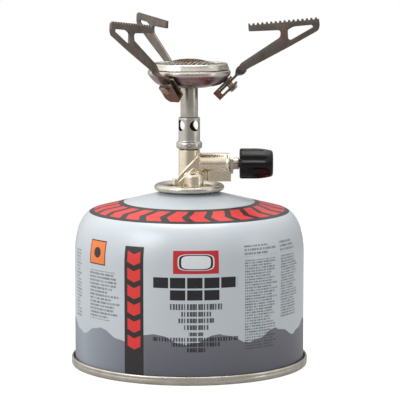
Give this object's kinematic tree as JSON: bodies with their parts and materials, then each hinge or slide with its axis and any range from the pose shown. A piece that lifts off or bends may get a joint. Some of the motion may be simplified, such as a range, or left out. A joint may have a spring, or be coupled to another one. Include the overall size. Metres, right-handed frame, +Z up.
{
  "type": "canister stove",
  "caption": "Folding gas burner screwed onto a squat self-sealing gas canister, with toothed swing-out pot arms, an upright mixing tube with air holes and a side valve with a fluted knob.",
  "frame": {"origin": "centre of the flat in the middle of the canister's domed-in base, on the canister's axis, 10 mm above the surface that the seam ring stands on", "axes": "+Z up along the canister's axis, +X along the gas valve towards the knob"},
  "size_m": [0.1154, 0.1106, 0.1619],
  "materials": {
    "can_paint": "pale silver-blue lacquer on steel, satin",
    "tinplate": "bare tinplate, bright",
    "plated_brass": "nickel-plated brass, warm silver",
    "bare_brass": "turned brass",
    "stainless": "drawn stainless steel",
    "burnt_steel": "heat-tinted steel, brown-grey",
    "mesh_wire": "oxidised wire mesh",
    "rubber": "matt black rubber",
    "knob_plastic": "moulded black plastic",
    "cage_plastic": "natural acetal"
  },
  "bodies": {
    "canister": {"canister_body": "can_paint", "canister_base": "tinplate", "valve_cup": "tinplate", "cup_gasket": "rubber", "valve_cage": "cage_plastic", "plunger_seal": "rubber", "valve_spring": "stainless"},
    "plunger": {"valve_plunger": "cage_plastic"},
    "stove_lift": {"inlet_seal": "rubber"},
    "stove": {"valve_body": "plated_brass", "inlet_pin": "bare_brass", "gas_filter": "bare_brass", "gas_jet": "bare_brass", "gland_nut": "plated_brass", "air_collar": "stainless", "collar_screw": "stainless", "mixing_tube": "stainless", "burner_bowl": "burnt_steel", "burner_rim": "stainless", "diffuser": "stainless", "burner_mesh": "mesh_wire", "arm_bracket_1": "burnt_steel", "pivot_rivet_1": "stainless", "spring_washer_1": "stainless", "arm_bracket_2": "burnt_steel", "pivot_rivet_2": "stainless", "spring_washer_2": "stainless", "arm_bracket_3": "burnt_steel", "pivot_rivet_3": "stainless", "spring_washer_3": "stainless"},
    "needle_slide": {"spindle_o_ring": "rubber"},
    "knob": {"spindle": "stainless", "control_knob": "knob_plastic"},
    "arm_1": {"pot_arm_1": "burnt_steel"},
    "arm_2": {"pot_arm_2": "burnt_steel"},
    "arm_3": {"pot_arm_3": "burnt_steel"}
  },
  "joints": [
    {"name": "stove_rise", "type": "slide", "parent": "canister", "child": "stove_lift", "axis": [0, 0, 1], "range_m": [0, 0.00453]},
    {"name": "stove_turn", "type": "hinge", "parent": "stove_lift", "child": "stove", "pos_m": [0, 0, 0], "axis": [0, 0, 1], "range_deg": [0, 1800]},
    {"name": "plunger_rise", "type": "slide", "parent": "canister", "child": "plunger", "axis": [0, 0, 1], "range_m": [0, 0.0015], "deforming": ["valve_spring"]},
    {"name": "needle_travel", "type": "slide", "parent": "stove", "child": "needle_slide", "axis": [1, 0, 0], "range_m": [0, 0.0018]},
    {"name": "knob_turn", "type": "hinge", "parent": "needle_slide", "child": "knob", "pos_m": [0, 0, 0.0838], "axis": [1, 0, 0], "range_deg": [0, 1080]},
    {"name": "arm_fold_1", "type": "hinge", "parent": "stove", "child": "arm_1", "pos_m": [0.01818, -0.00079, 0.1213], "axis": [0.7064, -0.0308, -0.7071], "range_deg": [0, 120]},
    {"name": "arm_fold_2", "type": "hinge", "parent": "stove", "child": "arm_2", "pos_m": [-0.0084, 0.01614, 0.1213], "axis": [-0.3265, 0.6272, -0.7071], "range_deg": [0, 120]},
    {"name": "arm_fold_3", "type": "hinge", "parent": "stove", "child": "arm_3", "pos_m": [-0.00978, -0.01535, 0.1213], "axis": [-0.3799, -0.5964, -0.7071], "range_deg": [0, 120]}
  ],
  "couplings": [
    {"joint": "stove_turn", "follows": "stove_rise", "rad_per_m": 6927.4},
    {"joint": "plunger_rise", "follows": "stove_rise", "ratio": 0.3307},
    {"joint": "knob_turn", "follows": "needle_travel", "rad_per_m": 10472}
  ]
}
